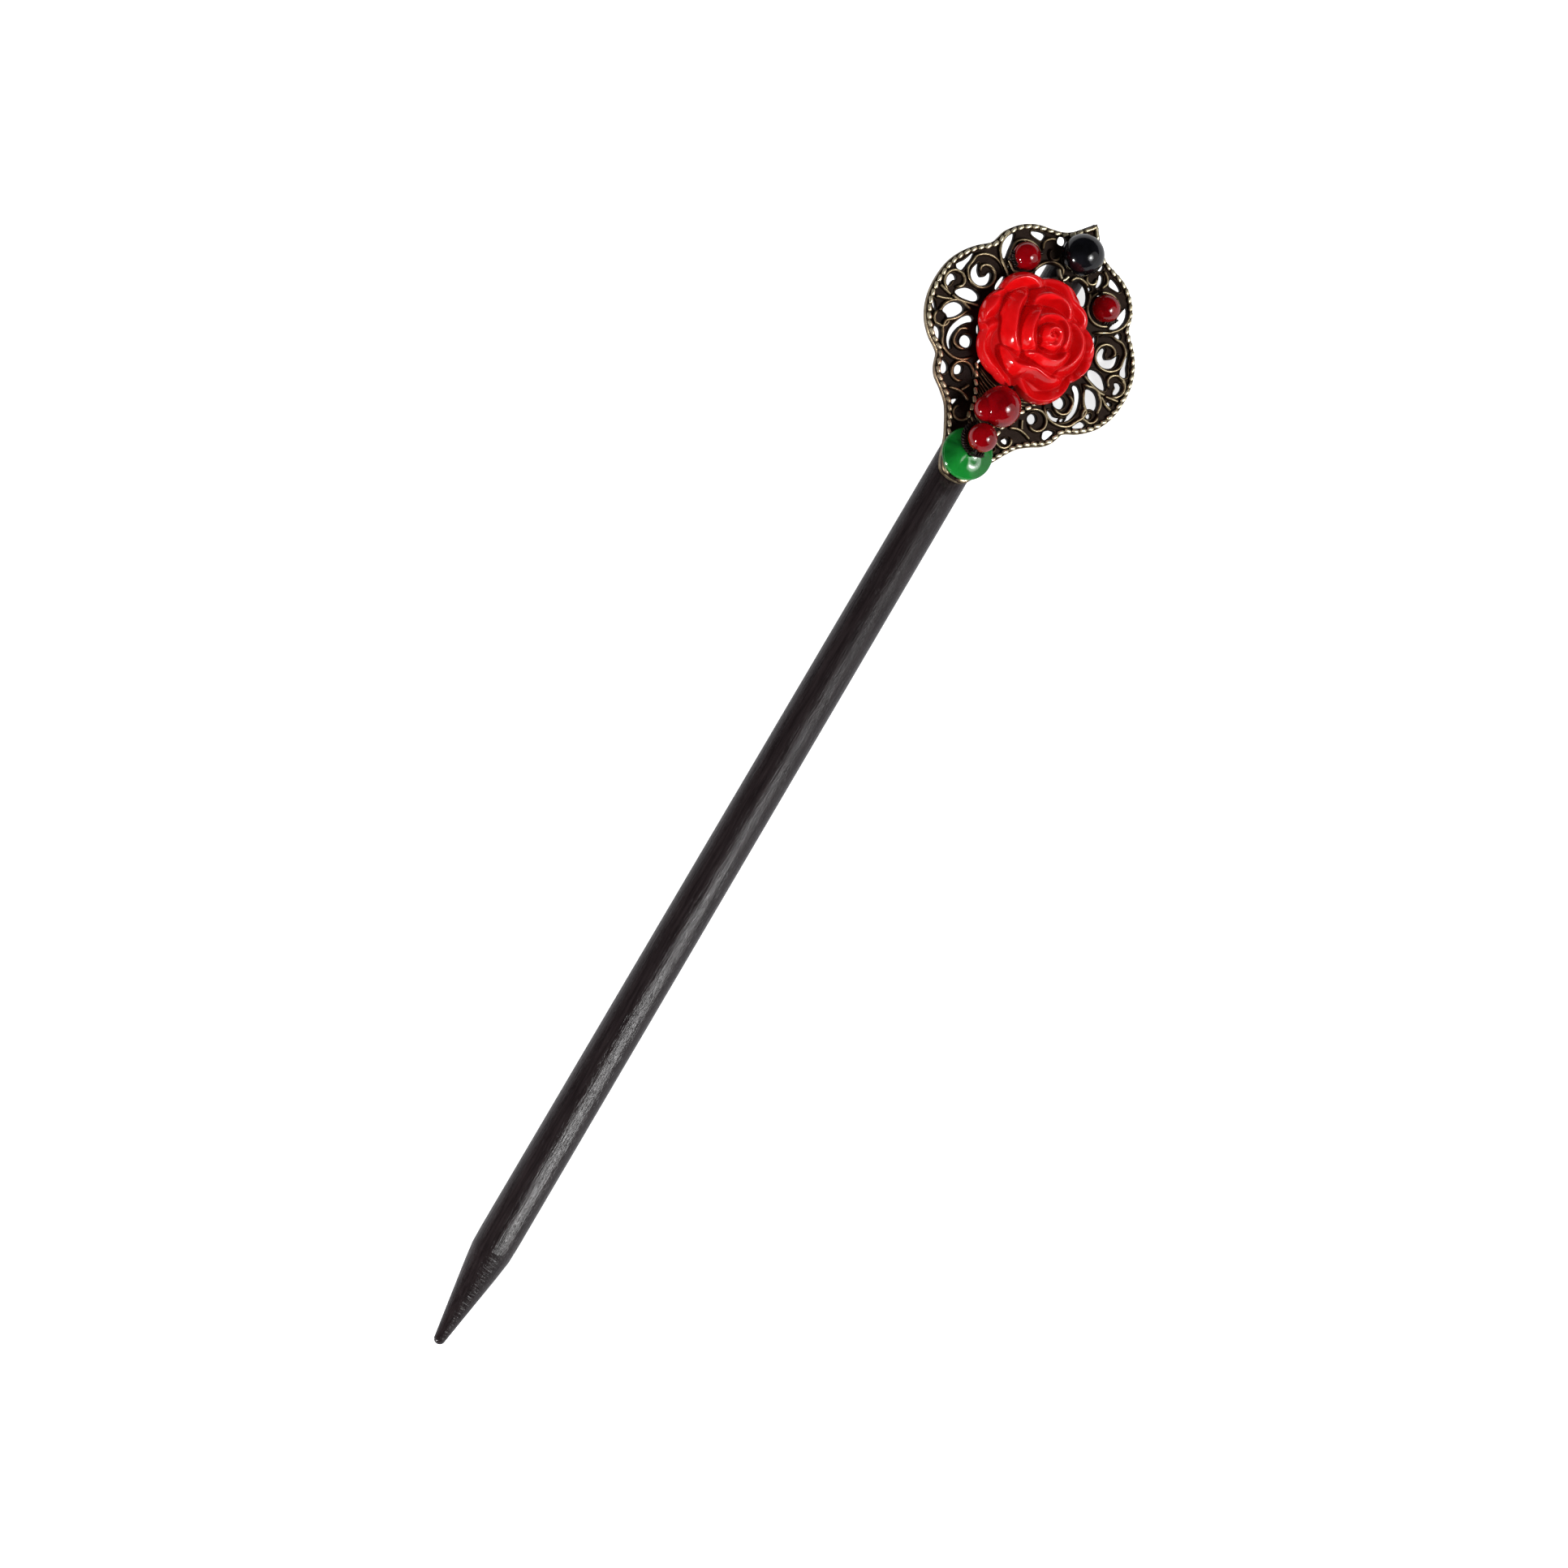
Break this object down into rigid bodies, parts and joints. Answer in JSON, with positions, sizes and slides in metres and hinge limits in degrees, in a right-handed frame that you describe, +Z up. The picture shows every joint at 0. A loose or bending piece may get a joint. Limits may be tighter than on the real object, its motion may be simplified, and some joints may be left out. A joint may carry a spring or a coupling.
{
  "type": "hair stick",
  "caption": "Hair stick: a round black lacquered wooden stick with a pierced, lobed brass head carrying a moulded rose, round beads and a flat disc bead.",
  "frame": {"origin": "bottom centre of the whole part's bounding box, on the surface that the stick lies on", "axes": "+Y along the stick from its blunt tip to the point of the head, +Z up, +X to the side of the head that touches the surface"},
  "size_m": [0.0302, 0.1766, 0.0137],
  "materials": {
    "stick": "satin black lacquer",
    "filigree": "antiqued",
    "rose": "gloss cast resin",
    "black_bead": "polished",
    "red_bead": "polished",
    "green_disc": "polished",
    "wire": "dark wire"
  },
  "bodies": {
    "root": {"stick": "stick", "filigree": "filigree", "rose": "rose", "black_bead": "black_bead", "left_red_bead": "red_bead", "right_red_bead": "red_bead", "large_red_bead": "red_bead", "small_red_bead": "red_bead", "green_disc": "green_disc", "centre_wire": "wire", "left_wire": "wire", "right_wire": "wire"}
  },
  "joints": []
}
